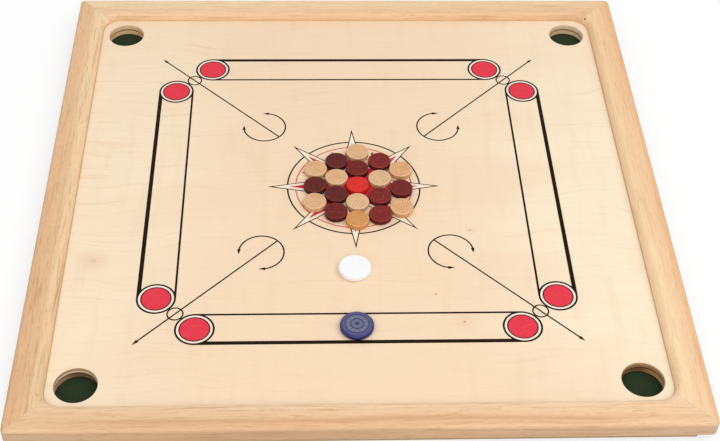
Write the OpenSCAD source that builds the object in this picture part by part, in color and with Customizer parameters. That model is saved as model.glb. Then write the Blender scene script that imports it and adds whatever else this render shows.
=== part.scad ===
// Carrom board with its men and two strikers.
// The board lies flat on Z = 0, centred on the origin, and the player sits on the -Y side.

/* [Frame] */
// Outside width of the square frame
board_w = 827; // [780:1:880]
// Width of a rail, seen from above
rail_w = 40; // [36:0.5:48]
// Height of the rails above the playing surface
rail_rise = 12; // [11:0.5:18]
// Radius of the rounded inner top edge of the rails
rail_inner_r = 9.5; // [5:0.5:10.5]
// Radius of the rounded outer top edge of the rails
rail_outer_r = 5; // [2:0.5:7]
// Radius of the upright outer corners of the frame
frame_corner_r = 8; // [7.5:0.5:14]
// Plan radius of the frame's inner corners at the playing surface
field_corner_r = 26; // [15:0.5:32]
// How far the rails lap over the edge of the playing panel
rail_lap = 9; // [5:0.5:12]

/* [Jointing biscuits] */
// Length of a biscuit along the mitre
biscuit_l = 35; // [28:0.5:36]
// Width of a biscuit across the mitre
biscuit_w = 12; // [8:0.5:14]
// Thickness of a biscuit
biscuit_t = 3.6; // [2.4:0.1:5]
// Clearance round a biscuit in its slot
biscuit_clear = 0.1; // [0.05:0.05:0.3]

/* [Panel and under layer] */
// Thickness of the playing panel
panel_t = 8.5; // [4:0.5:12]
// Clearance between the panel and the rails at each edge
panel_clear = 0.5; // [0.1:0.1:1]
// Thickness of the pocket blocks and battens under the panel
spacer_t = 10; // [6:0.5:14]
// How far the under layer and the base sheet stand back from the frame's outer face
under_inset = 7; // [2:0.5:10]
// Length cut off each outer corner of the under layer and the base sheet
under_corner_cut = 15; // [8:1:30]
// Width of an edge batten
edge_batten_w = 50; // [38:1:65]
// Width of a cross batten
cross_batten_w = 40; // [25:1:60]
// Clearance in the lap joint of the cross battens
lap_clear = 0.2; // [0.1:0.1:0.5]

/* [Pockets] */
// Diameter of a pocket
pocket_d = 52; // [44:0.5:56]
// Distance of a pocket's centre from the two rails beside it
pocket_inset = 36; // [32:0.5:42]
// Width of the eased edge round a pocket
pocket_ease = 0.8; // [0.2:0.1:2]
// Width of a pocket block
pocket_block_w = 116; // [104:1:130]
// How much wider a block's bore is than the pocket above it, all round
pocket_step = 1; // [0.2:0.1:2.5]
// Thickness of the felt on a pocket's floor
felt_t = 1.2; // [0.8:0.1:3]
// Clearance round a felt disc
felt_clear = 0.3; // [0.1:0.1:0.6]

/* [Base] */
// Thickness of the base sheet
base_t = 3; // [2.6:0.1:5]
// Screws along each side
screws_per_side = 4; // [2:1:6]
// Distance of the end screws from the frame's corners
screw_end_inset = 90; // [60:5:140]
// Diameter of a screw's shank
screw_d = 3.5; // [3:0.1:4.5]
// Diameter of a screw's head
screw_head_d = 7; // [6:0.1:8]
// Length of a screw
screw_l = 24; // [20:1:28]
// Clearance round a screw
screw_clear = 0.1; // [0.05:0.05:0.2]

/* [Base line markings] */
// Thickness of the printed ink
ink_t = 0.1; // [0.05:0.05:0.2]
// Distance from the rail to the middle of a base line
base_line_inset = 120.5; // [110:0.5:130]
// Distance that a base circle stops short of the crossing base line
base_circle_gap = 50.6; // [46:0.1:58]
// Outside diameter of a base circle
base_circle_d = 50; // [44:0.5:54]
// Line width of a base circle
base_circle_line = 2.6; // [1:0.1:3]
// Diameter of the red disc in a base circle
red_disc_d = 36.2; // [30:0.2:40]
// Line width round the red disc
red_disc_line = 1.6; // [0.6:0.1:2]
// Width of the thick outer base line
outer_line_w = 5.5; // [3:0.1:7]
// Width of the thin inner base line
inner_line_w = 2.8; // [1:0.1:4]

/* [Corner arrow markings] */
// How far an arrow's tip stops short of the corner where the outer base lines would meet
arrow_tip_gap = 1; // [-20:0.5:20]
// Distance from the star's points out to an arrow's tail
arrow_tail_gap = 27.7; // [10:0.1:50]
// Line width of the arrows and their arcs
arrow_line = 2; // [0.8:0.1:2.5]
// Length of an arrow head
arrow_head_l = 9; // [6:0.5:16]
// Width of an arrow head
arrow_head_w = 5; // [3:0.2:8]
// Radius of the arc at an arrow's tail
arrow_arc_r = 29.5; // [24:0.5:36]
// Angle left open in the arc
arrow_arc_gap = 77; // [50:1:110]
// Line width of the small corner circles
corner_circle_line = 1.9; // [0.8:0.1:2.5]

/* [Centre markings] */
// Diameter of the black centre ring, to the middle of its line
centre_ring_d = 180; // [165:1:195]
// Line width of the black centre ring
centre_ring_line = 2.1; // [1:0.1:3]
// Diameter of the red ring, to the middle of its line
red_ring_d = 158; // [145:1:163]
// Line width of the red ring
red_ring_line = 1.4; // [0.6:0.1:2]
// Diameter of the circle through the star's points
star_d = 234; // [205:1:250]
// Diameter of the circle through the star's inner corners
star_inner_d = 79; // [65:1:100]
// Line width of the star's outline
star_line = 1.4; // [0.6:0.1:1.8]
// Distance from the star's points in to the points of the red star
red_star_inset = 29; // [20:0.5:45]
// Distance that the small darts between the star's points stop short of the red ring
dart_gap = 1.8; // [0.5:0.1:10]
// Length of a dart
dart_l = 7; // [4:0.5:12]
// Width of a dart
dart_w = 3.6; // [2:0.2:6]

/* [Men] */
// Diameter of a man
man_d = 31; // [28:0.5:33]
// Thickness of a man
man_t = 8; // [6:0.5:10]
// Radius of a man's rounded edges
man_edge_r = 1.6; // [0.5:0.1:2.5]
// Middle of the men across the board
men_x = 5; // [-20:1:20]
// Sideways lean of the men's columns
men_lean = 0.025; // [0:0.005:0.06]
// Height of the men and strikers above the ink
rest_gap = 0.1; // [0.05:0.05:0.3]

/* [Strikers] */
// Diameter of a striker
striker_d = 42.5; // [38:0.5:45]
// Thickness of a striker
striker_t = 8; // [6.5:0.5:10]
// Radius of a striker's rounded edges
striker_edge_r = 3; // [1:0.1:3.2]
// Depth of the rings and dots in the blue striker's face
blue_cut = 0.5; // [0.3:0.1:0.8]
// Depth of the rings and the dot in the white striker's face
white_cut = 0.2; // [0.1:0.05:0.8]
// Width of a turned ring
striker_ring_w = 1.3; // [0.8:0.1:2]
// Outside diameter of the outer turned ring
striker_ring_d = 31; // [28:0.5:32]
// Outside diameter of the inner turned ring
striker_inner_ring_d = 17; // [14:0.5:19]
// Diameter of a dot between the rings
striker_dot_d = 2.6; // [1.5:0.1:3]
// Place of the strikers across the board
striker_x = -3; // [-40:1:40]
// Place of the white striker along the board
white_striker_y = -156; // [-190:1:-130]

/* [Hidden] */
$fn = 96;
over = 1;

board_half = board_w / 2;
field_half = board_half - rail_w;
rebate_half = field_half + rail_lap;
panel_z = base_t + spacer_t;
surface_z = panel_z + panel_t;
rail_top = surface_z + rail_rise;
rail_h = rail_top - panel_z;
panel_half = rebate_half - panel_clear;
under_half = board_half - under_inset;
ink_z = surface_z;
rest_z = ink_z + ink_t + rest_gap;

// Corner arcs of the field and of the frame, and how far the blank of a rail reaches in
field_arc_c = field_half - field_corner_r;
frame_arc_c = board_half - frame_corner_r;
blank_inner = field_half - field_corner_r * (1 - sqrt(1 / 2)) - over;

biscuit_c = (rebate_half + board_half) / 2;
biscuit_z = panel_z + rail_h / 3;
pocket_c = field_half - pocket_inset;
bore_d = pocket_d + 2 * pocket_step;
block_in = under_half - pocket_block_w;
edge_batten_in = under_half - edge_batten_w;

screw_row = (rebate_half + under_half) / 2;
screw_head_h = (screw_head_d - screw_d) / 2;
screw_tip_l = screw_d;
screw_sink = 0.1;
screw_slot_w = 1;
screw_slot_depth = 1;

base_line_c = field_half - base_line_inset;
base_circle_c = base_line_c - base_circle_gap;
base_circle_r = base_circle_d / 2;
corner_circle_c = (base_line_c + base_circle_c) / 2;
corner_circle_r = base_circle_gap / sqrt(2) - base_circle_r;
red_edge_r = red_disc_d / 2 + red_disc_line;

arrow_tip = (base_line_c + base_circle_r - arrow_tip_gap) * sqrt(2);
arrow_tail = star_d / 2 + arrow_tail_gap;
arrow_arc_c = arrow_tail + arrow_arc_r;
arc_end_angle = arrow_arc_gap / 2 + asin(arrow_head_l / 2 / arrow_arc_r) * 2;

STAR_POINTS = 8;
star_r = star_d / 2;
star_inner_r = star_inner_d / 2;
star_edge_angle = atan2(
    star_inner_r * sin(180 / STAR_POINTS),
    star_r - star_inner_r * cos(180 / STAR_POINTS)
);
star_edge_distance = star_r * sin(star_edge_angle);
star_fill = 1 - star_line / star_edge_distance;
red_star_fill = 1 - red_star_inset / star_r;
dart_tip = (red_ring_d - red_ring_line) / 2 - dart_gap;

// Columns of men from left to right: colours from far to near, the gap beside the column on its
// left, the gap between its men, and the place of its middle along the board
MEN_COLUMNS = [
    [["light", "dark", "light"], 0, 1.1, -3.5],
    [["dark", "light", "dark", "dark"], 1.9, 2.1, -5],
    [["light", "dark", "queen", "light", "light"], 1.8, 2, -3.5],
    [["dark", "light", "dark", "dark"], 3.5, 3.8, -8],
    [["light", "dark", "light"], 2, 5.8, -10]
];
MIDDLE_COLUMN = floor(len(MEN_COLUMNS) / 2);
nested_pitch = man_d * cos(30);

function column_step(c) = c == 0 ? 0 : column_step(c - 1) + nested_pitch + MEN_COLUMNS[c][1];
function column_x(c) = men_x + column_step(c) - column_step(MIDDLE_COLUMN);
function man_y(c, i) =
    MEN_COLUMNS[c][3] + ((len(MEN_COLUMNS[c][0]) - 1) / 2 - i) * (man_d + MEN_COLUMNS[c][2]);

MEN = [
    for (c = [0 : len(MEN_COLUMNS) - 1], i = [0 : len(MEN_COLUMNS[c][0]) - 1])
        let (y = man_y(c, i))
            [MEN_COLUMNS[c][0][i], column_x(c) + men_lean * y, y]
];
function same_before(k) = len([for (j = [0 : k]) if (MEN[j][0] == MEN[k][0]) j]);
function man_name(k) = MEN[k][0] == "queen" ? "queen" : str(MEN[k][0], "_man_", same_before(k));
function man_color(kind) = kind == "queen" ? "firebrick" : kind == "dark" ? "#5a2326" : "burlywood";

SIDES = ["back", "left", "front", "right"];
CORNERS = ["back_right", "back_left", "front_left", "front_right"];
function side_names(stem) = [for (side = SIDES) str(side, "_", stem)];
function corner_names(stem) = [for (corner = CORNERS) str(stem, "_", corner)];

// Sliver between a square corner at the origin and its rounding
module corner_sliver(r) {
    translate([-r, -r])
        difference() {
            square(r + over);
            circle(r);
        }
}

module ring(outer_r, line) {
    difference() {
        circle(outer_r);
        circle(outer_r - line);
    }
}

module on_corners() {
    for (turn = [0 : 3])
        rotate(90 * turn)
            children();
}

module ink(paint) {
    color(paint)
        translate([0, 0, ink_z])
            linear_extrude(ink_t)
                children();
}

// Section of a rail before the field is cut, with the rebate for the panel
module rail_section() {
    difference() {
        translate([blank_inner, panel_z])
            square([board_half - blank_inner, rail_h]);
        translate([blank_inner - over, panel_z - over])
            square([rebate_half - blank_inner + over, panel_t + over]);
        translate([board_half, rail_top])
            corner_sliver(rail_outer_r);
    }
}

// Section of the cut that opens the field: a straight wall with a flared top, at distance edge
module field_cut_section(edge) {
    translate([0, surface_z - over])
        square([edge, rail_rise + 2 * over]);
    translate([edge, rail_top])
        mirror([1, 0])
            corner_sliver(rail_inner_r);
}

// The cut along one rail and round the two field corners at its ends
module field_cut() {
    rotate([90, 0, 90])
        linear_extrude(2 * field_arc_c, center = true)
            translate([field_arc_c, 0])
                field_cut_section(field_corner_r);
    for (side = [-1, 1])
        translate([side * field_arc_c, field_arc_c, 0])
            rotate(side > 0 ? 0 : 90)
                rotate_extrude(angle = 90)
                    field_cut_section(field_corner_r);
}

// Waste outside the rounded frame corner at +X +Y
module frame_corner_cut() {
    translate([frame_arc_c, frame_arc_c, 0])
        rotate_extrude(angle = 90) {
            translate([frame_corner_r, panel_z - over])
                square([frame_corner_r, rail_h + 2 * over]);
            translate([frame_corner_r, rail_top])
                corner_sliver(rail_outer_r);
        }
}

// Waste outside the cut corner of the under layer at +X +Y, over the height h from z
module under_corner(z, h) {
    translate([under_half, under_half, z - over])
        rotate(45)
            translate([-under_corner_cut / sqrt(2), -under_corner_cut, 0])
                cube([2 * under_corner_cut, 2 * under_corner_cut, h + 2 * over]);
}

// Lens-shaped biscuit lying across the mitre of the corner at +X +Y
module biscuit_solid(clear) {
    half_l = biscuit_l / 2 + clear;
    half_w = biscuit_w / 2 + clear;
    arc_r = (half_l * half_l + half_w * half_w) / (2 * half_w);
    translate([biscuit_c, biscuit_c, biscuit_z - clear])
        rotate(45)
            linear_extrude(biscuit_t + 2 * clear)
                intersection_for (side = [-1, 1])
                    translate([0, side * (arc_r - half_w)])
                        circle(arc_r);
}

module screw_places() {
    span = 2 * (board_half - screw_end_inset);
    for (i = [0 : screws_per_side - 1])
        translate([-span / 2 + span * i / (screws_per_side - 1), screw_row, 0])
            children();
}

// Countersunk screw pointing up, with its head at Z = 0
module screw_body(clear) {
    cylinder(d1 = screw_head_d + 2 * clear, d2 = screw_d + 2 * clear, h = screw_head_h);
    translate([0, 0, screw_head_h])
        cylinder(d = screw_d + 2 * clear, h = screw_l - screw_head_h - screw_tip_l);
    translate([0, 0, screw_l - screw_tip_l])
        cylinder(d1 = screw_d + 2 * clear, d2 = clear, h = screw_tip_l + clear);
}

// Hole for a screw, open at the underside of the base sheet
module screw_hole() {
    translate([0, 0, -over])
        cylinder(d = screw_head_d + 2 * screw_clear, h = over + screw_sink);
    translate([0, 0, screw_sink])
        screw_body(screw_clear);
}

// Rail on the +Y side, from mitre to mitre
module rail() {
    reach = board_half + over;
    color("burlywood")
        difference() {
            intersection() {
                rotate([90, 0, 90])
                    linear_extrude(board_w, center = true)
                        rail_section();
                linear_extrude(rail_top + over)
                    polygon([[0, 0], [reach, reach], [-reach, reach]]);
            }
            field_cut();
            for (side = [0, 1])
                mirror([side, 0, 0]) {
                    frame_corner_cut();
                    biscuit_solid(biscuit_clear);
                }
            screw_places()
                screw_hole();
        }
}

module biscuit() {
    color("peru")
        biscuit_solid(0);
}

module playing_panel() {
    color("moccasin")
        difference() {
            translate([-panel_half, -panel_half, panel_z])
                cube([2 * panel_half, 2 * panel_half, panel_t]);
            on_corners()
                translate([pocket_c, pocket_c, panel_z]) {
                    translate([0, 0, -over])
                        cylinder(d = pocket_d, h = panel_t + 2 * over);
                    translate([0, 0, panel_t - pocket_ease])
                        cylinder(d1 = pocket_d, d2 = pocket_d + 4 * pocket_ease, h = 2 * pocket_ease);
                }
        }
}

// Drilled block under the pocket at +X +Y
module pocket_block() {
    color("tan")
        difference() {
            translate([block_in, block_in, base_t])
                cube([pocket_block_w, pocket_block_w, spacer_t]);
            translate([pocket_c, pocket_c, base_t - over])
                cylinder(d = bore_d, h = spacer_t + 2 * over);
            under_corner(base_t, spacer_t);
            for (turn = [0, -90])
                rotate(turn)
                    screw_places()
                        screw_hole();
        }
}

module pocket_felt() {
    color("darkgreen")
        translate([pocket_c, pocket_c, base_t])
            cylinder(d = bore_d - 2 * felt_clear, h = felt_t);
}

// Batten along the +Y edge, between two pocket blocks
module edge_batten() {
    color("tan")
        difference() {
            translate([-block_in, edge_batten_in, base_t])
                cube([2 * block_in, edge_batten_w, spacer_t]);
            screw_places()
                screw_hole();
        }
}

// Batten along X with a half lap at its middle, cut from above or from below
module cross_batten(lap_z) {
    lap_w = cross_batten_w + 2 * lap_clear;
    color("tan")
        difference() {
            translate([-edge_batten_in, -cross_batten_w / 2, base_t])
                cube([2 * edge_batten_in, cross_batten_w, spacer_t]);
            translate([-lap_w / 2, -lap_w / 2, lap_z])
                cube([lap_w, lap_w, spacer_t / 2 + over]);
        }
}

module cross_batten_wide() {
    cross_batten(base_t + spacer_t / 2);
}

module cross_batten_long() {
    rotate(90)
        cross_batten(base_t - over);
}

module base_sheet() {
    color("wheat")
        difference() {
            translate([-under_half, -under_half, 0])
                cube([2 * under_half, 2 * under_half, base_t]);
            on_corners() {
                under_corner(0, base_t);
                screw_places()
                    screw_hole();
            }
        }
}

module base_screws() {
    color("silver")
        on_corners()
            screw_places()
                translate([0, 0, screw_sink])
                    difference() {
                        screw_body(0);
                        for (turn = [0, 90])
                            rotate(turn)
                                translate([-screw_d / 2, -screw_slot_w / 2, -over])
                                    cube([screw_d, screw_slot_w, screw_slot_depth + over]);
                    }
}

// Places of the eight base circles
module on_base_circles() {
    on_corners()
        for (side = [-1, 1])
            translate([side * base_circle_c, base_line_c])
                children();
}

module base_lines() {
    ink("#352a1a") {
        difference() {
            on_corners() {
                translate([-base_circle_c, base_line_c + base_circle_r - outer_line_w])
                    square([2 * base_circle_c, outer_line_w]);
                translate([-base_circle_c, base_line_c - base_circle_r])
                    square([2 * base_circle_c, inner_line_w]);
            }
            on_base_circles()
                circle(base_circle_r - base_circle_line / 2);
        }
        on_base_circles() {
            ring(base_circle_r, base_circle_line);
            ring(red_edge_r, red_disc_line);
        }
    }
}

module base_discs() {
    ink("crimson")
        on_base_circles()
            circle(d = red_disc_d);
}

module base_rings() {
    ink("white")
        on_base_circles()
            ring(base_circle_r - base_circle_line, base_circle_r - base_circle_line - red_edge_r);
}

// Arrow head with its tip at the origin, pointing along +X
module arrow_head(length, width) {
    polygon([[0, 0], [-length, width / 2], [-length, -width / 2]]);
}

// Arc at an arrow's tail, open towards the corner, with a head at each end
module arrow_arc() {
    difference() {
        ring(arrow_arc_r + arrow_line / 2, arrow_line);
        polygon([
            [0, 0],
            2 * arrow_arc_r * [cos(arc_end_angle), -sin(arc_end_angle)],
            [3 * arrow_arc_r, 0],
            2 * arrow_arc_r * [cos(arc_end_angle), sin(arc_end_angle)]
        ]);
    }
    for (side = [0, 1])
        mirror([0, side])
            rotate(arrow_arc_gap / 2)
                translate([arrow_arc_r, 0])
                    rotate(-90 + asin(arrow_head_l / 2 / arrow_arc_r))
                        arrow_head(arrow_head_l, arrow_head_w);
}

module corner_arrows() {
    ink("#352a1a")
        on_corners()
            rotate(45) {
                translate([arrow_tail, -arrow_line / 2])
                    square([arrow_tip - arrow_head_l - arrow_tail, arrow_line]);
                translate([arrow_tip, 0])
                    arrow_head(arrow_head_l, arrow_head_w);
                translate([arrow_arc_c, 0])
                    arrow_arc();
                translate([corner_circle_c * sqrt(2), 0])
                    ring(corner_circle_r, corner_circle_line);
            }
}

module star(size) {
    polygon([
        for (i = [0 : 2 * STAR_POINTS - 1])
            let (r = i % 2 == 0 ? star_r : star_inner_r, a = i * 180 / STAR_POINTS)
                size * r * [cos(a), sin(a)]
    ]);
}

// Black ring behind the star, the star's outline, and the darts between its points
module centre_outlines() {
    ink("#352a1a") {
        difference() {
            ring((centre_ring_d + centre_ring_line) / 2, centre_ring_line);
            star(1);
        }
        difference() {
            star(1);
            star(star_fill);
        }
        for (i = [0 : STAR_POINTS - 1])
            rotate((i + 0.5) * 360 / STAR_POINTS)
                translate([dart_tip, 0])
                    arrow_head(dart_l, dart_w);
    }
}

module centre_red() {
    ink("crimson") {
        difference() {
            ring((red_ring_d + red_ring_line) / 2, red_ring_line);
            star(1);
        }
        star(red_star_fill);
    }
}

// Pale ground inside the star's outline
module centre_ground() {
    ink("cornsilk")
        difference() {
            star(star_fill);
            star(red_star_fill);
        }
}

// Turned disc with rounded edges
module turned_disc(d, t, edge_r) {
    rotate_extrude()
        difference() {
            square([d / 2, t]);
            translate([d / 2, t])
                corner_sliver(edge_r);
            translate([d / 2, 0])
                mirror([0, 1])
                    corner_sliver(edge_r);
        }
}

module carrom_man(k) {
    color(man_color(MEN[k][0]))
        translate([MEN[k][1], MEN[k][2], rest_z])
            turned_disc(man_d, man_t, man_edge_r);
}

// Striker with turned rings in its face
module striker_body(cut) {
    difference() {
        turned_disc(striker_d, striker_t, striker_edge_r);
        translate([0, 0, striker_t - cut])
            linear_extrude(cut + over) {
                ring(striker_ring_d / 2, striker_ring_w);
                ring(striker_inner_ring_d / 2, striker_ring_w);
                children();
            }
    }
}

module blue_striker() {
    dots = 12;
    dot_r = (striker_ring_d - 2 * striker_ring_w + striker_inner_ring_d) / 4;
    color("slateblue")
        translate([striker_x, -base_line_c, rest_z])
            striker_body(blue_cut) {
                for (i = [0 : dots - 1])
                    rotate(i * 360 / dots)
                        translate([dot_r, 0])
                            circle(d = striker_dot_d);
                circle(d = 2 * striker_dot_d);
            }
}

module white_striker() {
    color("white")
        translate([striker_x, white_striker_y, rest_z])
            striker_body(white_cut)
                circle(d = striker_dot_d);
}

for (i = [0 : 3])
    rotate(90 * i) {
        rail();
        biscuit();
        pocket_block();
        pocket_felt();
        edge_batten();
    }
playing_panel();
cross_batten_long();
cross_batten_wide();
base_sheet();
base_screws();
base_lines();
base_discs();
base_rings();
corner_arrows();
centre_outlines();
centre_red();
centre_ground();
for (k = [0 : len(MEN) - 1])
    carrom_man(k);
blue_striker();
white_striker();
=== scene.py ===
# Finishes, felts, floor, light and camera for the carrom board.
import math

import bmesh
import bpy
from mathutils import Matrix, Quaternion, Vector, noise

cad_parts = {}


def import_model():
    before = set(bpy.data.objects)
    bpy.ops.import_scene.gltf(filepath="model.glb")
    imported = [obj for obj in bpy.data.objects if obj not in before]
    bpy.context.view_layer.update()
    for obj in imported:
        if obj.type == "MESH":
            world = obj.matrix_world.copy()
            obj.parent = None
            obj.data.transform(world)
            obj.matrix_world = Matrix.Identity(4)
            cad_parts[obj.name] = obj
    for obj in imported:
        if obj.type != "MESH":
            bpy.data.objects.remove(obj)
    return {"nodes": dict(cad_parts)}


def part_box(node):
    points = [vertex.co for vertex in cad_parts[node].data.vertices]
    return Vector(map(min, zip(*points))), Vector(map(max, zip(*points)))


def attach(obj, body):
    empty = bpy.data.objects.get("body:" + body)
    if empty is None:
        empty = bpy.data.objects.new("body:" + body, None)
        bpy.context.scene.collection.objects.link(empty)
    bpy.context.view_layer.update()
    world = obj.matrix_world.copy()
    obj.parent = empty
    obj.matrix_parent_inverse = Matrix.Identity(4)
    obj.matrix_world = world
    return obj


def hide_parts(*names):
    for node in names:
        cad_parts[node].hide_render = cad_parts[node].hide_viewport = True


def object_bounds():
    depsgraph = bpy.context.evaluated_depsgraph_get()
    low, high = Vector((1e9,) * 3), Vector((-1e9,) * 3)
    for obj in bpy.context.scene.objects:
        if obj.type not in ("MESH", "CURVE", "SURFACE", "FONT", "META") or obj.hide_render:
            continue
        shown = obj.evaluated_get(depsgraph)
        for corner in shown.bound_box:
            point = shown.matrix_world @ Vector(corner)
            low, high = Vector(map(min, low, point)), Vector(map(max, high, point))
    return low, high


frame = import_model()
cad_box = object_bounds()
nodes = frame["nodes"]

MM = 0.001

# Camera that took the photograph, in metres in the board's frame
CAMERA_PLACE = (-0.06251, -1.35289, 1.30662)
CAMERA_AIM = (0.00656, -0.0658, 0.0215)
CAMERA_ROLL = math.radians(1.839)
CAMERA_LENS = 68.53
CAMERA_SENSOR = 36.0

# Plan and heights of the board
FIELD_HALF = 373.5 * MM
FIELD_CORNER = 26 * MM
RAIL_WIDTH = cad_box[1].x - FIELD_HALF
PANEL_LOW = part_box("playing_panel")[0].z
PANEL_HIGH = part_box("playing_panel")[1].z
CORNERS = ("back_right", "back_left", "front_left", "front_right")

# Values between which a noise mostly lies
NOISE_RANGE = (0.3, 0.7)


def srgb(red, green, blue):
    """Linear colour of a screen colour whose parts run from 0 to 255."""
    def linear(part):
        value = part / 255
        if value <= 0.04045:
            return value / 12.92
        return ((value + 0.055) / 1.055) ** 2.4
    return (linear(red), linear(green), linear(blue), 1.0)


class Finish:
    """A material whose nodes are added by short calls. A value is a socket, a number or a colour."""

    def __init__(self, name):
        self.material = bpy.data.materials.new(name)
        self.material.use_nodes = True
        self.tree = self.material.node_tree
        self.shader = self.tree.nodes["Principled BSDF"]
        self.texture = self.tree.nodes.new("ShaderNodeTexCoord")
        self.place = self.texture.outputs["Object"]

    def feed(self, socket, value):
        """Links an input to a socket, or sets it to a number or a colour."""
        if isinstance(value, bpy.types.NodeSocket):
            self.tree.links.new(value, socket)
        else:
            socket.default_value = value

    def add(self, kind, inputs, **settings):
        """Adds a node with its inputs and settings."""
        node = self.tree.nodes.new(kind)
        for key, value in settings.items():
            setattr(node, key, value)
        for key, value in inputs.items():
            self.feed(node.inputs[key], value)
        return node

    def set(self, **inputs):
        """Sets or links inputs of the shader, with spaces in their names written as underscores."""
        for key, value in inputs.items():
            self.feed(self.shader.inputs[key.replace("_", " ")], value)

    def bump(self, height, depth):
        """Roughens the surface by a height that runs from 0 to 1 over the depth."""
        node = self.add("ShaderNodeBump", {"Height": height, "Distance": depth, "Strength": 1.0})
        self.set(Normal=node.outputs["Normal"])

    def math(self, operation, first, second=0.0):
        return self.add("ShaderNodeMath", {0: first, 1: second}, operation=operation).outputs[0]

    def axis(self, vector, letter):
        return self.add("ShaderNodeSeparateXYZ", {0: vector}).outputs[letter]

    def length(self, vector):
        return self.add("ShaderNodeVectorMath", {0: vector}, operation="LENGTH").outputs["Value"]

    def at(self, letter):
        """Place along one axis of the board."""
        return self.axis(self.place, letter)

    def far(self, letter):
        """Distance from the middle of the board along one axis."""
        return self.math("ABSOLUTE", self.at(letter))

    def distance(self, point):
        """Distance from a point."""
        node = self.add("ShaderNodeVectorMath", {0: self.place, 1: point}, operation="DISTANCE")
        return node.outputs["Value"]

    def around(self, x, y):
        """Distance from the upright line through a place on the board."""
        return self.length(self.scaled((1, 1, 0), (-x, -y, 0)))

    def upward(self):
        """How far a face looks up: 1 for a level top, 0 for an upright wall."""
        return self.axis(self.texture.outputs["Normal"], "Z")

    def scaled(self, scale, offset=(0, 0, 0), place=None):
        """Place times the scale, moved by the offset."""
        mapping = self.add("ShaderNodeMapping", {"Vector": place or self.place})
        mapping.inputs["Scale"].default_value = scale
        mapping.inputs["Location"].default_value = offset
        return mapping.outputs["Vector"]

    def even(self, cycles):
        """Place in cycles, with as many of them to a metre in every direction."""
        return self.scaled((cycles, cycles, cycles))

    def grain(self, along, lengthwise, crosswise, place=None):
        """Place in cycles: few of them to a metre along the grain, and many across it."""
        scale = [crosswise] * 3
        scale["XYZ".index(along)] = lengthwise
        return self.scaled(scale, place=place)

    def wander(self, letter, cycles, amount):
        """Place moved along one axis, by up to the amount each way, so that straight grain waves."""
        drift = self.spread(self.noise(self.even(cycles), detail=1), -amount, amount)
        shift = self.add("ShaderNodeCombineXYZ", {letter: drift}).outputs[0]
        return self.add("ShaderNodeVectorMath", {0: self.place, 1: shift}, operation="ADD").outputs[0]

    def noise(self, vector, detail=2.0, rough=0.5, warp=0.0):
        inputs = {"Vector": vector, "Scale": 1.0, "Detail": detail, "Roughness": rough, "Distortion": warp}
        return self.add("ShaderNodeTexNoise", inputs).outputs["Fac"]

    def ramp(self, value, low, high, start=0.0, end=1.0):
        """Smooth change from start to end while value goes from low to high."""
        inputs = {"Value": value, 1: low, 2: high, 3: start, 4: end}
        node = self.add("ShaderNodeMapRange", inputs, interpolation_type="SMOOTHSTEP")
        return node.outputs[0]

    def spread(self, value, start, end):
        """A noise brought between start and end."""
        return self.ramp(value, *NOISE_RANGE, start, end)

    def bands(self, value, stops):
        """Colours at places from 0 to 1, blended between them."""
        node = self.add("ShaderNodeValToRGB", {0: value})
        elements = node.color_ramp.elements
        while len(elements) < len(stops):
            elements.new(1.0)
        for element, (place, colour) in zip(elements, stops):
            element.position = place
            element.color = colour
        return node.outputs["Color"]

    def mix(self, factor, first, second, blend="MIX"):
        inputs = {0: factor, 6: first, 7: second}
        return self.add("ShaderNodeMix", inputs, data_type="RGBA", blend_type=blend).outputs[2]


def dress(finish, *names):
    """Puts a finish on nodes of the frame."""
    for name in names:
        for slot in nodes[name].material_slots:
            slot.material = finish.material


def middle_and_radius(low, high):
    """Middle and radius of a round piece, from the corners of its box."""
    return (low + high) / 2, (high.x - low.x) / 2


# Rails

RAIL_STREAK = srgb(196, 144, 98)
RAIL_FLECK = srgb(198, 148, 102)
RAIL_FIBRE = srgb(206, 160, 114)
RAIL_PORE = srgb(150, 104, 66)
RAIL_END = srgb(242, 203, 160)
RAIL_END_START = 250 * MM
# Painted shade low on the inner wall of a rail, where it meets the panel
RAIL_SEAM_SHADE = srgb(158, 122, 82)
RAIL_SEAM_SHADE_HEIGHT = 2.5 * MM
RAIL_WAVE = 3 * MM
RAIL_RELIEF = 0.05 * MM

# Shares of a rail's width: how far its tones waver, and where the painted shade of the seam at its inner wall
# fades
RAIL_WAVER = 0.05
RAIL_SEAM_SHADE_FADE = (0.2, 0.4)

# Marks at the mitres, with the distances at which each is still full and has ended
MITRE_LINE = srgb(176, 132, 92)
MITRE_LINE_FADE = (0.1 * MM, 0.6 * MM)
MITRE_GAP = srgb(104, 58, 30)
MITRE_GAP_FADE = (1.0 * MM, 2.6 * MM)
MITRE_GAP_PLACE = (370.5 * MM, 366.2 * MM, 30.4 * MM)

# Tones across a rail, from its inner wall to its outer face
FRONT_TONES = (
    (0.0, srgb(248, 220, 182)),
    (0.25, srgb(242, 205, 163)),
    (0.56, srgb(238, 196, 152)),
    (0.7, srgb(219, 170, 126)),
    (0.82, srgb(237, 191, 147)),
    (0.9, srgb(229, 183, 140)),
    (1.0, srgb(243, 195, 151)),
)
BACK_TONES = (
    (0.0, srgb(242, 200, 160)),
    (0.3, srgb(244, 204, 162)),
    (0.6, srgb(247, 215, 174)),
    (1.0, srgb(248, 219, 180)),
)
LEFT_TONES = (
    (0.0, srgb(245, 212, 169)),
    (0.25, srgb(245, 212, 169)),
    (0.42, srgb(237, 197, 152)),
    (0.7, srgb(233, 189, 146)),
    (1.0, srgb(234, 190, 147)),
)
# The first tones, at the right rail's inner wall, are raised as painted light
RIGHT_TONES = (
    (0.0, srgb(253, 222, 180)),
    (0.3, srgb(253, 223, 180)),
    (0.5, srgb(250, 215, 171)),
    (0.74, srgb(248, 211, 168)),
    (0.86, srgb(243, 196, 149)),
    (1.0, srgb(241, 194, 147)),
)

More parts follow.
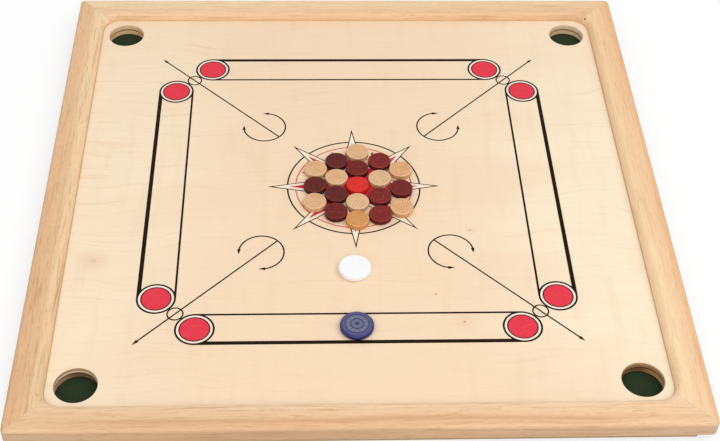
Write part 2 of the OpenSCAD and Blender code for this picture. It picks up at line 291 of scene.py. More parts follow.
# How the colour of a rail changes towards the low end and the high end of the axis that it lies along
FRONT_ENDS = ((0.95, 0.97, 0.98, 1), (1.04, 1.07, 1.12, 1))
BACK_ENDS = ((1.02, 1.05, 1.07, 1), (0.98, 0.95, 0.92, 1))
LEFT_ENDS = ((0.95, 0.935, 0.915, 1), (1.03, 1.05, 1.05, 1))
RIGHT_ENDS = ((0.99, 0.97, 0.96, 1), (0.96, 0.89, 0.82, 1))

# Each rail's axes, its side and its colours, and how much figure, painted seam shade and pale ends show
RAILS = {
    "front_rail": dict(
        along="X", across="Y", side=-1, tones=FRONT_TONES, ends=FRONT_ENDS,
        figure=0.9, seam_shade_strength=0.3, pale_ends=0.7,
    ),
    "back_rail": dict(
        along="X", across="Y", side=1, tones=BACK_TONES, ends=BACK_ENDS,
        figure=0.8, seam_shade_strength=0.25, pale_ends=0.0,
    ),
    "left_rail": dict(
        along="Y", across="X", side=-1, tones=LEFT_TONES, ends=LEFT_ENDS,
        figure=1.2, seam_shade_strength=0.6, pale_ends=0.0,
    ),
    "right_rail": dict(
        along="Y", across="X", side=1, tones=RIGHT_TONES, ends=RIGHT_ENDS,
        figure=0.45, seam_shade_strength=0.5, pale_ends=0.0,
    ),
}


def rail_depth(wood, along, across, side):
    """Place across a rail, from 0 at its inner wall to 1 at its outer face, wavering along the rail."""
    outward = wood.math("MULTIPLY", wood.at(across), side)
    depth = wood.math("DIVIDE", wood.math("SUBTRACT", outward, FIELD_HALF), RAIL_WIDTH)
    drift = wood.noise(wood.grain(along, 5, 30))
    return wood.math("ADD", depth, wood.spread(drift, -RAIL_WAVER, RAIL_WAVER))


def rail_grain(wood, along, across, colour, figure):
    """Lays streaks, flecks, fibres and pores that run along a rail over its colour."""
    waving = wood.wander(across, 5, RAIL_WAVE)
    streaks = wood.noise(wood.grain(along, 8, 330, waving), detail=3, rough=0.6)
    flecks = wood.noise(wood.grain(along, 32, 520, waving))
    fibres = wood.noise(wood.grain(along, 26, 1000), rough=0.6)
    pores = wood.noise(wood.grain(along, 110, 1500), detail=1)
    patches = wood.noise(wood.grain(along, 7, 70))
    heavy = wood.ramp(patches, 0.35, 0.65, 0.2 * figure, 0.8 * figure)
    colour = wood.mix(wood.math("MULTIPLY", heavy, wood.ramp(streaks, 0.5, 0.75)), colour, RAIL_STREAK)
    colour = wood.mix(wood.ramp(flecks, 0.56, 0.74, 0, 0.5 * figure), colour, RAIL_FLECK)
    colour = wood.mix(wood.ramp(fibres, 0.48, 0.75, 0, 0.4), colour, RAIL_FIBRE)
    colour = wood.mix(wood.ramp(pores, 0.62, 0.74, 0, 0.35 * figure), colour, RAIL_PORE)
    wood.set(Roughness=wood.spread(streaks, 0.42, 0.54), Specular_IOR_Level=0.3)
    wood.bump(wood.math("ADD", fibres, wood.ramp(pores, 0.62, 0.74, 0, -1)), RAIL_RELIEF)
    return colour


def mitre_marks(wood, colour):
    """Lays the fine lines of the mitres, and the gap in the far right one, over the colour of a rail."""
    beside = wood.math("ABSOLUTE", wood.math("SUBTRACT", wood.far("X"), wood.far("Y")))
    colour = wood.mix(wood.ramp(beside, *MITRE_LINE_FADE, 0.25, 0), colour, MITRE_LINE)
    gap = wood.ramp(wood.distance(MITRE_GAP_PLACE), *MITRE_GAP_FADE, 0.9, 0)
    return wood.mix(gap, colour, MITRE_GAP)


def rail_wood(rail, along, across, side, tones, ends, figure, seam_shade_strength, pale_ends):
    """Straight-grained hardwood with tones across the rail, painted shade at its seam with the panel, and
    mitre lines.
    """
    wood = Finish(rail + "_wood")
    depth = rail_depth(wood, along, across, side)
    pale = wood.ramp(wood.far(along), RAIL_END_START, FIELD_HALF, 0, pale_ends)
    colour = wood.mix(pale, wood.bands(depth, tones), RAIL_END)
    colour = rail_grain(wood, along, across, colour, figure)
    onward = wood.ramp(wood.at(along), -FIELD_HALF, FIELD_HALF)
    colour = wood.mix(1.0, colour, wood.mix(onward, *ends), blend="MULTIPLY")
    # Painted shade low on the inner wall, where the rail meets the panel
    low = wood.ramp(wood.at("Z"), PANEL_HIGH, PANEL_HIGH + RAIL_SEAM_SHADE_HEIGHT, seam_shade_strength, 0)
    seam_shade = wood.math("MULTIPLY", low, wood.ramp(depth, *RAIL_SEAM_SHADE_FADE, 1, 0))
    colour = wood.mix(seam_shade, colour, RAIL_SEAM_SHADE)
    wood.set(Base_Color=mitre_marks(wood, colour))
    return wood


# Panel

PANEL_CREAM = srgb(253, 235, 205)
PANEL_PINK = srgb(248, 220, 187)
PANEL_LINE = srgb(236, 202, 162)
PANEL_WAVE = 9 * MM
PANEL_RELIEF = 0.03 * MM

# Painted shade of the seam at the rails: from where it starts to where it is full, and how soon it changes
# past a corner
PANEL_SEAM_SHADE = srgb(188, 154, 113)
PANEL_SEAM_SHADE_RISE = (-1.6 * MM, -0.3 * MM)
PANEL_SEAM_SHADE_TURN = 20 * MM

# The panel turns from pink to cream away from its middle. The strips are where the cream or the lines change
CREAM_RISE = (100 * MM, 350 * MM)
CREAM_DRIFT = 50 * MM
CREAM_NEAR_SHIFT = -75 * MM
NEAR_STRIP = (-360 * MM, -200 * MM)
FAR_STRIP = (160 * MM, 320 * MM)
LEFT_STRIP = (-200 * MM, 100 * MM)
LINES_STRIP = (-300 * MM, 250 * MM)

# Pin knots of the panel: place along X and Y, radius, reach of the halo, and how dark each is
PIN_KNOTS = (
    (130.6 * MM, -244.4 * MM, 1.3 * MM, 22 * MM, 0.9),
    (98.3 * MM, -198 * MM, 1.1 * MM, 7 * MM, 0.7),
    (151.3 * MM, -85.5 * MM, 1.7 * MM, 10 * MM, 0.5),
    (-338 * MM, -136 * MM, 4.0 * MM, 30 * MM, 0.16),
)
KNOT_CORE = srgb(168, 128, 92)
KNOT_HALO = srgb(236, 200, 166)

# Edges of the plies, from the underside of a sheet to its face
# The panel's ply edges carry painted shade in the front pockets and painted light in the back ones
FRONT_LEFT_SHADED_PLIES = (
    (0.0, srgb(254, 228, 196)),
    (0.28, srgb(252, 226, 194)),
    (0.34, srgb(208, 168, 128)),
    (0.6, srgb(206, 164, 122)),
    (0.66, srgb(212, 172, 130)),
    (1.0, srgb(206, 164, 122)),
)
FRONT_RIGHT_SHADED_PLIES = (
    (0.0, srgb(178, 134, 90)),
    (0.28, srgb(182, 138, 94)),
    (0.34, srgb(196, 152, 108)),
    (0.6, srgb(206, 164, 122)),
    (0.66, srgb(222, 184, 144)),
    (1.0, srgb(216, 176, 134)),
)
BACK_LEFT_LIT_PLIES = (
    (0.0, srgb(242, 206, 162)),
    (0.28, srgb(242, 208, 164)),
    (0.34, srgb(246, 214, 174)),
    (0.6, srgb(248, 216, 176)),
    (0.66, srgb(252, 226, 188)),
    (1.0, srgb(250, 222, 184)),
)
BACK_RIGHT_LIT_PLIES = (
    (0.0, srgb(246, 216, 176)),
    (0.28, srgb(246, 218, 178)),
    (0.34, srgb(250, 226, 192)),
    (0.6, srgb(251, 228, 194)),
    (0.66, srgb(254, 238, 208)),
    (1.0, srgb(253, 234, 204)),
)
BASE_PLIES = (
    (0.0, srgb(230, 201, 160)),
    (0.3, srgb(228, 199, 158)),
    (0.36, srgb(190, 151, 110)),
    (0.64, srgb(192, 153, 112)),
    (0.7, srgb(228, 199, 158)),
    (1.0, srgb(230, 201, 160)),
)
PLY_FLECK = srgb(176, 134, 92)


def sheet_height(wood, name):
    """Height in a sheet, from 0 at its underside to 1 at its face."""
    low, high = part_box(name)
    return wood.ramp(wood.at("Z"), low.z, high.z)


def panel_edge_lit_and_shaded(wood):
    """Edges of the panel's plies, darker in the front pockets as painted shade and lighter in the back ones
    as painted light.
    """
    height = sheet_height(wood, "playing_panel")
    rightward = wood.ramp(wood.at("X"), -FIELD_HALF / 2, FIELD_HALF / 2)
    backward = wood.ramp(wood.at("Y"), -FIELD_HALF / 2, FIELD_HALF / 2)
    front = wood.mix(rightward, wood.bands(height, FRONT_LEFT_SHADED_PLIES), wood.bands(height, FRONT_RIGHT_SHADED_PLIES))
    back = wood.mix(rightward, wood.bands(height, BACK_LEFT_LIT_PLIES), wood.bands(height, BACK_RIGHT_LIT_PLIES))
    return wood.mix(backward, front, back)


def sheet(wood, face, edge):
    """The face colour on the level faces of a sheet, and flecked edges of plies on the upright ones."""
    flecks = wood.noise(wood.scaled((300, 300, 900)))
    edge = wood.mix(wood.ramp(flecks, 0.5, 0.75, 0, 0.4), edge, PLY_FLECK)
    level = wood.ramp(wood.math("ABSOLUTE", wood.upward()), 0.55, 0.7)
    return wood.mix(level, edge, face)


def field_edge(wood):
    """Distance outside the round-cornered square that the rails enclose, negative on the field."""
    middle = FIELD_HALF - FIELD_CORNER
    past_x = wood.math("MAXIMUM", wood.math("SUBTRACT", wood.far("X"), middle), 0.0)
    past_y = wood.math("MAXIMUM", wood.math("SUBTRACT", wood.far("Y"), middle), 0.0)
    past = wood.add("ShaderNodeCombineXYZ", {"X": past_x, "Y": past_y}).outputs[0]
    return wood.math("SUBTRACT", wood.length(past), FIELD_CORNER)


def panel_cream(wood):
    """Share of cream in the panel: it rises towards the sides, and less so at the left, near and far ends."""
    patches = wood.noise(wood.grain("X", 3, 10), detail=3, warp=0.4)
    sideways = wood.math("ADD", wood.far("X"), wood.spread(patches, -CREAM_DRIFT, CREAM_DRIFT))
    near = wood.ramp(wood.at("Y"), *NEAR_STRIP, CREAM_NEAR_SHIFT, 0)
    cream = wood.ramp(wood.math("ADD", sideways, near), *CREAM_RISE)
    cream = wood.math("MULTIPLY", cream, wood.ramp(wood.at("X"), *LEFT_STRIP, 0.7, 1))
    return wood.math("MULTIPLY", cream, wood.ramp(wood.at("Y"), *FAR_STRIP, 1, 0.55))


def pin_knot(wood, colour, x, y, radius, halo, dark):
    """Lays a small knot with a faint halo over the colour of the panel."""
    reach = wood.distance((x, y, PANEL_HIGH))
    colour = wood.mix(wood.ramp(reach, radius, halo, 0.45, 0), colour, KNOT_HALO)
    return wood.mix(wood.ramp(reach, 0.5 * radius, 1.5 * radius, dark, 0), colour, KNOT_CORE)


def panel_seam_shade(wood):
    """Share of the painted shade of the seam at the rails, which is darker at the left and the right than at
    the ends.
    """
    beside = wood.math("SUBTRACT", wood.far("X"), wood.far("Y"))
    strength = wood.ramp(beside, -PANEL_SEAM_SHADE_TURN, PANEL_SEAM_SHADE_TURN, 0.25, 0.7)
    return wood.math("MULTIPLY", strength, wood.ramp(field_edge(wood), *PANEL_SEAM_SHADE_RISE))


def panel_birch():
    """Lacquered birch: faint waving lines along X, soft patches, a few pin knots and painted shade at the
    seam with the rails.
    """
    wood = Finish("panel_birch")
    waving = wood.wander("Y", 7, PANEL_WAVE)
    lines = wood.noise(wood.grain("X", 7, 190, waving), detail=3, rough=0.6)
    ripple = wood.noise(wood.grain("Y", 9, 60))
    colour = wood.mix(panel_cream(wood), PANEL_PINK, PANEL_CREAM)
    strong = wood.ramp(wood.at("X"), *LINES_STRIP, 0.6, 0.38)
    colour = wood.mix(wood.math("MULTIPLY", strong, wood.ramp(lines, 0.5, 0.8)), colour, PANEL_LINE)
    colour = wood.mix(wood.ramp(ripple, 0.5, 0.75, 0, 0.2), colour, PANEL_LINE)
    for knot in PIN_KNOTS:
        colour = pin_knot(wood, colour, *knot)
    # Painted shade along the seam with the rails
    colour = wood.mix(panel_seam_shade(wood), colour, PANEL_SEAM_SHADE)
    wood.set(Base_Color=sheet(wood, colour, panel_edge_lit_and_shaded(wood)))
    wood.set(Roughness=wood.spread(lines, 0.36, 0.46))
    wood.bump(lines, PANEL_RELIEF)
    return wood


# Battens, pocket blocks, base sheet and screws

SPACER_PALE = srgb(236, 206, 166)
SPACER_BROWN = srgb(208, 168, 124)
SPACER_RELIEF = 0.1 * MM
# Glue line of the joint below the panel, darkened by painted shade under the panel's edge
GLUE_IN_DEEP_SHADE = srgb(60, 30, 9)
GLUE_IN_SOFT_SHADE = srgb(146, 102, 62)

# Distances below the panel at which the glue line and the painted shade under the panel end and are full
GLUE_SHADE_END = 4.2 * MM
GLUE_SHADE_FULL = 1.9 * MM

# Pale grain, brown grain, the outer side and the joint above in the bore of each pocket block: painted shade
# darkens the front bores and their joints, and painted light brightens the back bores and the outer sides of
# the front ones
BORE_LIGHT_AND_SHADE = {
    "back_right": (srgb(248, 218, 176), srgb(232, 194, 148), srgb(250, 222, 182), GLUE_IN_SOFT_SHADE),
    "back_left": (srgb(251, 216, 168), srgb(243, 200, 148), srgb(251, 214, 162), GLUE_IN_SOFT_SHADE),
    "front_left": (srgb(146, 121, 92), srgb(120, 96, 67), srgb(206, 166, 122), GLUE_IN_DEEP_SHADE),
    "front_right": (srgb(150, 120, 84), srgb(126, 96, 62), srgb(226, 178, 122), GLUE_IN_DEEP_SHADE),
}
BORE_REACH = 4 * MM

BASE_PALE = srgb(222, 192, 150)
BASE_BROWN = srgb(200, 164, 118)
BASE_RELIEF = 0.08 * MM

ZINC_DARK = srgb(176, 178, 180)
ZINC_LIGHT = srgb(206, 206, 204)


def spacer_bands(wood, along):
    """Bands of grain along a piece of plain softwood."""
    return wood.noise(wood.grain(along, 3, 150), detail=3, rough=0.6, warp=0.5)


def set_spacer(wood, bands, colour, glue_and_shade):
    """Finishes a piece between the panel and the base, which is dark at the joint above with glue and painted
    shade under the panel.
    """
    # Glue line and painted shade just below the panel
    joint = wood.ramp(wood.at("Z"), PANEL_LOW - GLUE_SHADE_END, PANEL_LOW - GLUE_SHADE_FULL, 0, 0.85)
    wood.set(Base_Color=wood.mix(joint, colour, glue_and_shade), Specular_IOR_Level=0.1)
    wood.set(Roughness=wood.spread(bands, 0.6, 0.75))
    wood.bump(bands, SPACER_RELIEF)


def spacer_wood(name, along):
    """Plain softwood of a batten."""
    wood = Finish(name)
    bands = spacer_bands(wood, along)
    colour = wood.mix(wood.ramp(bands, 0.4, 0.65), SPACER_PALE, SPACER_BROWN)
    set_spacer(wood, bands, colour, GLUE_IN_DEEP_SHADE)
    return wood


def block_wood(corner, pale, brown, outer, glue_and_shade):
    """Softwood of a pocket block, with tones of painted light and shade where its bore shows."""
    middle, radius = middle_and_radius(*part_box("pocket_felt_" + corner))
    wood = Finish("block_wood_" + corner)
    bands = spacer_bands(wood, "X")
    streaks = wood.ramp(bands, 0.4, 0.65)
    outward = wood.ramp(wood.far("X"), abs(middle.x), abs(middle.x) + radius)
    # Tones of the bore, which carry painted light and shade
    bore_shading = wood.mix(outward, wood.mix(streaks, pale, brown), outer)
    reach = wood.around(middle.x, middle.y)
    away = wood.ramp(reach, radius + BORE_REACH, radius + 2 * BORE_REACH)
    set_spacer(wood, bands, wood.mix(away, bore_shading, wood.mix(streaks, SPACER_PALE, SPACER_BROWN)), glue_and_shade)
    return wood


def base_ply():
    """Unfinished plywood of the base sheet, with its grain along Y."""
    wood = Finish("base_ply")
    bands = wood.noise(wood.grain("Y", 2.5, 30), detail=3, rough=0.6, warp=0.8)
    lines = wood.noise(wood.grain("Y", 8, 420), detail=3, rough=0.6)
    colour = wood.mix(wood.ramp(bands, 0.36, 0.64), BASE_PALE, BASE_BROWN)
    colour = wood.mix(wood.ramp(lines, 0.5, 0.8, 0, 0.5), colour, BASE_BROWN)
    wood.set(Base_Color=sheet(wood, colour, wood.bands(sheet_height(wood, "base_sheet"), BASE_PLIES)))
    wood.set(Roughness=wood.spread(lines, 0.62, 0.78))
    wood.bump(lines, BASE_RELIEF)
    return wood


def zinc():
    """Zinc-plated steel with fine turning marks."""
    steel = Finish("zinc_plate")
    tone = steel.noise(steel.even(1200), detail=3, rough=0.6)
    steel.set(Base_Color=steel.mix(tone, ZINC_DARK, ZINC_LIGHT), Metallic=1.0)
    steel.set(Roughness=steel.spread(tone, 0.28, 0.45))
    return steel


def dress_layers():
    """Finishes the panel, the base sheet and what lies between them."""
    dress(panel_birch(), "playing_panel")
    dress(base_ply(), "base_sheet")
    batten_x = spacer_wood("batten_wood_x", "X")
    batten_y = spacer_wood("batten_wood_y", "Y")
    dress(batten_x, "back_edge_batten", "front_edge_batten", "cross_batten_wide")
    dress(batten_y, "left_edge_batten", "right_edge_batten", "cross_batten_long")
    for corner in CORNERS:
        dress(block_wood(corner, *BORE_LIGHT_AND_SHADE[corner]), "pocket_block_" + corner)
        dress(batten_x, "biscuit_" + corner)
    dress(zinc(), "base_screws")


# Printed markings

# Colour, faded colour and roughness of each ink, and what it prints
INKS = {
    "black_ink": (srgb(30, 17, 5), srgb(42, 29, 14), 0.5, ("base_lines", "corner_arrows", "centre_outlines")),
    "red_ink": (srgb(231, 62, 78), srgb(236, 74, 88), 0.5, ("base_discs",)),
    "centre_red_ink": (srgb(216, 50, 72), srgb(224, 64, 84), 0.5, ("centre_red",)),
    "white_ink": (srgb(252, 237, 220), srgb(250, 231, 209), 0.45, ("base_rings",)),
    "star_ground": (srgb(254, 237, 214), srgb(252, 231, 203), 0.45, ("centre_ground",)),
}
INK_RELIEF = 0.02 * MM


def ink(name, colour, faded, roughness):
    """Screen-printed ink, a little uneven where the wood takes it up."""
    print_ink = Finish(name)
    mottle = print_ink.noise(print_ink.grain("X", 120, 500), detail=3, rough=0.6)
    print_ink.set(Base_Color=print_ink.mix(print_ink.ramp(mottle, 0.45, 0.75), colour, faded))
    print_ink.set(Roughness=print_ink.spread(mottle, roughness, roughness + 0.1), Specular_IOR_Level=0.06)
    print_ink.bump(mottle, INK_RELIEF)
    return print_ink


def dress_markings():
    for name, (colour, faded, roughness, films) in INKS.items():
        dress(ink(name, colour, faded, roughness), *films)


# Men

# Early wood, late wood, pores and the lighter tone of a painted highlight at the top edge, of the woods that
# the men are turned from
TAN = (srgb(232, 187, 142), srgb(219, 171, 125), srgb(194, 146, 102), srgb(240, 202, 166))
PALE = (srgb(234, 192, 150), srgb(216, 171, 126), srgb(198, 154, 112), srgb(240, 204, 170))
STRAW = (srgb(236, 186, 138), srgb(212, 156, 106), srgb(184, 132, 86), srgb(240, 200, 160))
ORANGE = (srgb(222, 161, 99), srgb(202, 139, 79), srgb(176, 114, 60), srgb(232, 178, 120))
PLUM = (srgb(108, 40, 35), srgb(88, 31, 28), srgb(58, 20, 18), srgb(120, 56, 50))
MAROON = (srgb(124, 42, 36), srgb(102, 32, 28), srgb(64, 20, 18), srgb(134, 58, 52))
RUST = (srgb(142, 47, 40), srgb(108, 33, 28), srgb(72, 22, 20), srgb(150, 66, 58))

LIGHT_WOODS = (TAN, TAN, TAN, TAN, PALE, ORANGE, PALE, STRAW, STRAW)
DARK_WOODS = (PLUM, PLUM, PLUM, MAROON, MAROON, RUST, RUST, RUST, MAROON)

# How far from the middle of a man the pith lies, how it turns from man to man, and the width of a ring
LIGHT_PITH = 36 * MM
LIGHT_RING = 3.6 * MM
DARK_PITH = 24 * MM
DARK_RING = 5 * MM
RUST_PITH = 4 * MM
RUST_RING = 5.4 * MM
PITH_TURN = 2.4
RING_WAVER = 6 * MM

# Share of the pore tone painted on the side of a man as shade
LIGHT_SIDE_SHADE = 0.15
DARK_SIDE_SHADE = 0.7

# Distances from the rim of a man at which its painted highlight starts and is full
RIM_HIGHLIGHT_START = 2 * MM
RIM_HIGHLIGHT_FULL = 0.8 * MM
MAN_RELIEF = 0.03 * MM

QUEEN_RED = srgb(221, 48, 36)
QUEEN_DEEP = srgb(204, 36, 28)


def turned_wood(name, tones, pith, ring, side_shade):
    """Wood of one turned disc: soft growth rings round a pith in or beside it, fibres, a painted highlight at
    the rim and painted shade on the side.
    """
    early, late, pore, edge = tones
    middle, radius = middle_and_radius(*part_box(name))
    wood = Finish(name + "_wood")
    waver = wood.noise(wood.scaled((80, 80, 40)))
    from_pith = wood.around(middle.x + pith[0], middle.y + pith[1])
    depth = wood.math("ADD", from_pith, wood.math("MULTIPLY", waver, RING_WAVER))
    growth = wood.ramp(wood.math("PINGPONG", depth, ring / 2), 0.05 * ring, 0.5 * ring)
    clouds = wood.noise(wood.scaled((90, 160, 90)))
    fibres = wood.noise(wood.scaled((300, 900, 150)), detail=3, rough=0.6)
    marked = wood.math("MULTIPLY", growth, wood.ramp(clouds, 0.35, 0.6, 1, 0.4))
    colour = wood.mix(marked, early, late)
    colour = wood.mix(wood.ramp(clouds, 0.45, 0.7, 0, 0.4), colour, pore)
    colour = wood.mix(wood.ramp(fibres, 0.48, 0.72, 0, 0.55), colour, pore)
    rise = wood.upward()
    reach = wood.around(middle.x, middle.y)
    # Painted highlight: a lighter rim at the top edge
    rim_highlight = wood.ramp(reach, radius - RIM_HIGHLIGHT_START, radius - RIM_HIGHLIGHT_FULL, 0, 0.6)
    rim_highlight = wood.math("MULTIPLY", rim_highlight, wood.ramp(rise, 0.2, 0.6))
    colour = wood.mix(rim_highlight, colour, edge)
    # Painted shade on the upright side
    colour = wood.mix(wood.ramp(rise, 0.1, 0.5, side_shade, 0), colour, pore)
    wood.set(Base_Color=colour, Roughness=wood.spread(fibres, 0.42, 0.56), Specular_IOR_Level=0.12)
    wood.bump(fibres, MAN_RELIEF)
    return wood


def queen_red():
    """Red lacquer over turned wood."""
    lacquer = Finish("queen_lacquer")
    cloud = lacquer.noise(lacquer.even(160), detail=3, rough=0.6)
    colour = lacquer.mix(lacquer.ramp(cloud, 0.4, 0.7), QUEEN_RED, QUEEN_DEEP)
    lacquer.set(Base_Color=colour, Roughness=lacquer.spread(cloud, 0.34, 0.46), Specular_IOR_Level=0.18)
    lacquer.bump(cloud, MAN_RELIEF)
    return lacquer


def dress_men():
    for number, tones in enumerate(LIGHT_WOODS, 1):
        turn = PITH_TURN * number
        pith = (LIGHT_PITH * math.cos(turn), LIGHT_PITH * math.sin(turn))
        name = f"light_man_{number}"
        dress(turned_wood(name, tones, pith, LIGHT_RING, LIGHT_SIDE_SHADE), name)
    for number, tones in enumerate(DARK_WOODS, 1):
        turn = PITH_TURN * number
        reach = RUST_PITH if tones == RUST else DARK_PITH
        ring = RUST_RING if tones == RUST else DARK_RING
        pith = (reach * math.sin(turn), reach * math.cos(turn))
        name = f"dark_man_{number}"
        dress(turned_wood(name, tones, pith, ring, DARK_SIDE_SHADE), name)
    dress(queen_red(), "queen")


# Strikers

# Tones of each striker's side, of the rim and the middle of its face, and of its turned rings and dots
STRIKERS = {
    "blue_striker": dict(
        side=srgb(27, 27, 100),
        rim=srgb(72, 74, 126),
        face=srgb(104, 106, 132),
        ring=srgb(54, 54, 90),
        dot=srgb(150, 154, 174),
    ),
    "white_striker": dict(
        side=srgb(246, 244, 248),
        rim=srgb(254, 253, 252),
        face=srgb(252, 251, 251),
        ring=srgb(248, 247, 249),
        dot=srgb(250, 249, 250),
    ),
}

# Radii of the rim and of the belt of dots, and the depths at which a sunk tone starts and is full
RIM_START = 15 * MM
RIM_FULL = 17 * MM
DOTS_START = 9.3 * MM
DOTS_END = 13.4 * MM
SUNK_START = 0.05 * MM
SUNK_FULL = 0.15 * MM
STRIKER_RELIEF = 0.015 * MM


def striker_plastic(name, side, rim, face, ring, dot):
    """Moulded plastic with a scuffed face, a brighter rim, and other tones in its sunk rings and dots."""
    low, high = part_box(name)
    middle, _ = middle_and_radius(low, high)
    plastic = Finish(name + "_plastic")
    radius = plastic.around(middle.x, middle.y)
    scuff = plastic.noise(plastic.even(500), detail=4, rough=0.65)
    flat = plastic.mix(plastic.ramp(radius, RIM_START, RIM_FULL), face, rim)
    outside = plastic.math("GREATER_THAN", radius, DOTS_START)
    among = plastic.math("MULTIPLY", outside, plastic.math("LESS_THAN", radius, DOTS_END))
    sunk = plastic.mix(among, ring, dot)
    below = plastic.ramp(plastic.at("Z"), high.z - SUNK_FULL, high.z - SUNK_START, 1, 0)
    level = plastic.ramp(plastic.upward(), 0.88, 0.99)
    patchy = plastic.math("MULTIPLY", level, plastic.ramp(scuff, 0.3, 0.65, 0.75, 1))
    colour = plastic.mix(patchy, side, plastic.mix(below, flat, sunk))
    plastic.set(Base_Color=colour, Roughness=plastic.spread(scuff, 0.32, 0.46))
    plastic.bump(scuff, STRIKER_RELIEF)
    return plastic


def dress_strikers():
    for name, tones in STRIKERS.items():
        dress(striker_plastic(name, **tones), name)


# Felt discs in the pockets

FELT_DARK = srgb(42, 50, 34)
FELT_LIGHT = srgb(58, 71, 48)
FELT_TUFT = srgb(36, 63, 41)
FELT_RINGS = 14
FELT_SPOKES = 72
FELT_NAP = 0.25 * MM
FELT_NAP_CYCLES = 260
FELT_EDGE_DROP = 0.5 * MM


def felt_cloth():
    """Matted green wool."""
    felt = Finish("felt_cloth")
    mat = felt.noise(felt.even(900), detail=4, rough=0.7, warp=1.0)
    tufts = felt.noise(felt.even(130))
    colour = felt.mix(felt.ramp(mat, 0.35, 0.7), FELT_DARK, FELT_LIGHT)
    colour = felt.mix(felt.ramp(tufts, 0.4, 0.65, 0, 0.6), colour, FELT_TUFT)
    felt.set(Base_Color=colour, Roughness=0.95, Specular_IOR_Level=0.1)
    felt.bump(mat, FELT_NAP)
    return felt


def felt_rows(mesh, middle, radius, level, napped):
    """Rows of points from the middle of a felt disc to its edge, sunk unevenly where the face is napped."""
    rows = [[mesh.verts.new((middle.x, middle.y, level))]]
    for ring in range(1, FELT_RINGS + 1):
        reach = radius * ring / FELT_RINGS
        row = []
        for spoke in range(FELT_SPOKES):
            angle = 2 * math.pi * spoke / FELT_SPOKES
            x = middle.x + reach * math.cos(angle)
            y = middle.y + reach * math.sin(angle)
            drop = 0.0
            if napped:
                drop = FELT_NAP * abs(noise.noise(Vector((x, y, 0)) * FELT_NAP_CYCLES))
            if napped and ring == FELT_RINGS:
                drop += FELT_EDGE_DROP
            row.append(mesh.verts.new((x, y, level - drop)))
        rows.append(row)
    return rows


def felt_face(mesh, rows):
    """Fills the rows of one face of a disc."""
    for spoke in range(FELT_SPOKES):
        following = (spoke + 1) % FELT_SPOKES
        mesh.faces.new((rows[0][0], rows[1][spoke], rows[1][following]))
        for inner, outer in zip(rows[1:], rows[2:]):
            mesh.faces.new((inner[spoke], outer[spoke], outer[following], inner[following]))


def felt_edge(mesh, bottom, top):
    """Fills the edge between the outer rows of a disc's two faces."""
    for spoke in range(FELT_SPOKES):
        following = (spoke + 1) % FELT_SPOKES
        mesh.faces.new((bottom[spoke], bottom[following], top[following], top[spoke]))


def felt_mesh(name, low, high):
    """Mesh of a disc that fills a box, smooth, with a napped upper face and a soft edge."""
    middle, radius = middle_and_radius(low, high)
    mesh = bmesh.new()
    under = felt_rows(mesh, middle, radius, low.z, False)
    upper = felt_rows(mesh, middle, radius, high.z, True)
    felt_face(mesh, under)
    felt_face(mesh, upper)
    felt_edge(mesh, under[-1], upper[-1])
    bmesh.ops.recalc_face_normals(mesh, faces=mesh.faces)
    for face in mesh.faces:
        face.smooth = True
    data = bpy.data.meshes.new(name)
    mesh.to_mesh(data)
    mesh.free()
    return data


def felt_disc(name, corner, cloth):
    """Cut felt disc that lies on the base sheet in a pocket."""
    low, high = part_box("pocket_felt_" + corner)
    data = felt_mesh(name, low, high)
    data.materials.append(cloth.material)
    disc = bpy.data.objects.new(name, data)
    bpy.context.scene.collection.objects.link(disc)
    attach(disc, "board")
    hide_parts("pocket_felt_" + corner)


def lay_felts():
    cloth = felt_cloth()
    for corner in CORNERS:
        felt_disc("felt_disc_" + corner, corner, cloth)


# Floor, light and camera

FLOOR_SIZE = 12
FLOOR_DROP = 0.2 * MM
FLOOR_GREY = 0.36
FLOOR_GLOW = 0.66
SKY_LEVEL = 0.6

# Place, size and power of the lamps, which are aimed at the middle of the board
LAMPS = {
    "key": ((1.8, -0.9, 3.4), 4.0, 64),
    "fill": ((-0.6, -2.2, 1.6), 2.0, 17),
}


def floor():
    """Grey floor that the camera, mirrors and glass see as white, with the board's shadow kept."""
    bpy.ops.mesh.primitive_plane_add(size=FLOOR_SIZE, location=(0, 0, -FLOOR_DROP))
    plane = bpy.context.object
    plane.name = "floor"
    paint = Finish("floor_paint")
    paint.set(Base_Color=(FLOOR_GREY, FLOOR_GREY, FLOOR_GREY, 1), Roughness=0.9, Specular_IOR_Level=0.0)
    path = paint.add("ShaderNodeLightPath", {})
    seen = paint.math("MAXIMUM", path.outputs["Is Camera Ray"], path.outputs["Is Glossy Ray"])
    seen = paint.math("MAXIMUM", seen, path.outputs["Is Transmission Ray"])
    paint.set(Emission_Color=(1, 1, 1, 1), Emission_Strength=paint.math("MULTIPLY", seen, FLOOR_GLOW))
    plane.data.materials.append(paint.material)


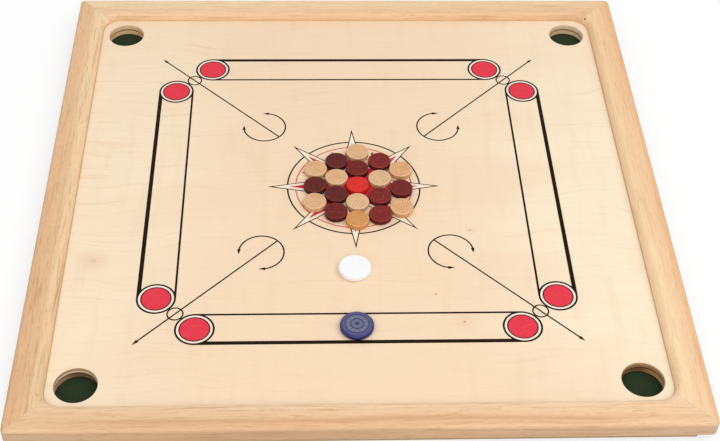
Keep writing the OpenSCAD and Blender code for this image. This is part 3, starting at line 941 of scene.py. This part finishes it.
def world():
    """Even white sky at a plain level, which the camera, mirrors and glass see as full white."""
    sky = bpy.data.worlds.new("studio")
    bpy.context.scene.world = sky
    sky.use_nodes = True
    tree = sky.node_tree
    background = tree.nodes["Background"]
    background.inputs["Color"].default_value = (1, 1, 1, 1)
    path = tree.nodes.new("ShaderNodeLightPath")
    seen = path.outputs["Is Camera Ray"]
    for ray in ("Is Glossy Ray", "Is Transmission Ray"):
        most = tree.nodes.new("ShaderNodeMath")
        most.operation = "MAXIMUM"
        tree.links.new(seen, most.inputs[0])
        tree.links.new(path.outputs[ray], most.inputs[1])
        seen = most.outputs[0]
    level = tree.nodes.new("ShaderNodeMapRange")
    level.inputs["To Min"].default_value = SKY_LEVEL
    level.inputs["To Max"].default_value = 1.0
    tree.links.new(seen, level.inputs["Value"])
    tree.links.new(level.outputs[0], background.inputs["Strength"])


def facing(place, aim):
    """Turn of a lamp or camera that looks from one place at another."""
    return (Vector(aim) - Vector(place)).to_track_quat("-Z", "Y")


def softbox(name, place, size, power):
    """Square lamp aimed at the middle of the board."""
    data = bpy.data.lights.new(name, "AREA")
    data.shape = "SQUARE"
    data.size = size
    data.energy = power
    lamp = bpy.data.objects.new(name, data)
    lamp.location = place
    lamp.rotation_euler = facing(place, (0, 0, 0)).to_euler()
    bpy.context.scene.collection.objects.link(lamp)


def camera():
    """Camera at the photograph's place, with its small roll."""
    data = bpy.data.cameras.new("camera")
    data.lens = CAMERA_LENS
    data.sensor_width = CAMERA_SENSOR
    eye = bpy.data.objects.new("camera", data)
    eye.location = CAMERA_PLACE
    roll = Quaternion((0, 0, 1), CAMERA_ROLL)
    eye.rotation_euler = (facing(CAMERA_PLACE, CAMERA_AIM) @ roll).to_euler()
    bpy.context.scene.collection.objects.link(eye)
    bpy.context.scene.camera = eye


bpy.context.scene.view_settings.view_transform = "Standard"
camera()
world()
floor()
for name, (place, size, power) in LAMPS.items():
    softbox(name, place, size, power)

for rail, look in RAILS.items():
    dress(rail_wood(rail, **look), rail)
dress_layers()
dress_markings()
dress_men()
dress_strikers()
lay_felts()
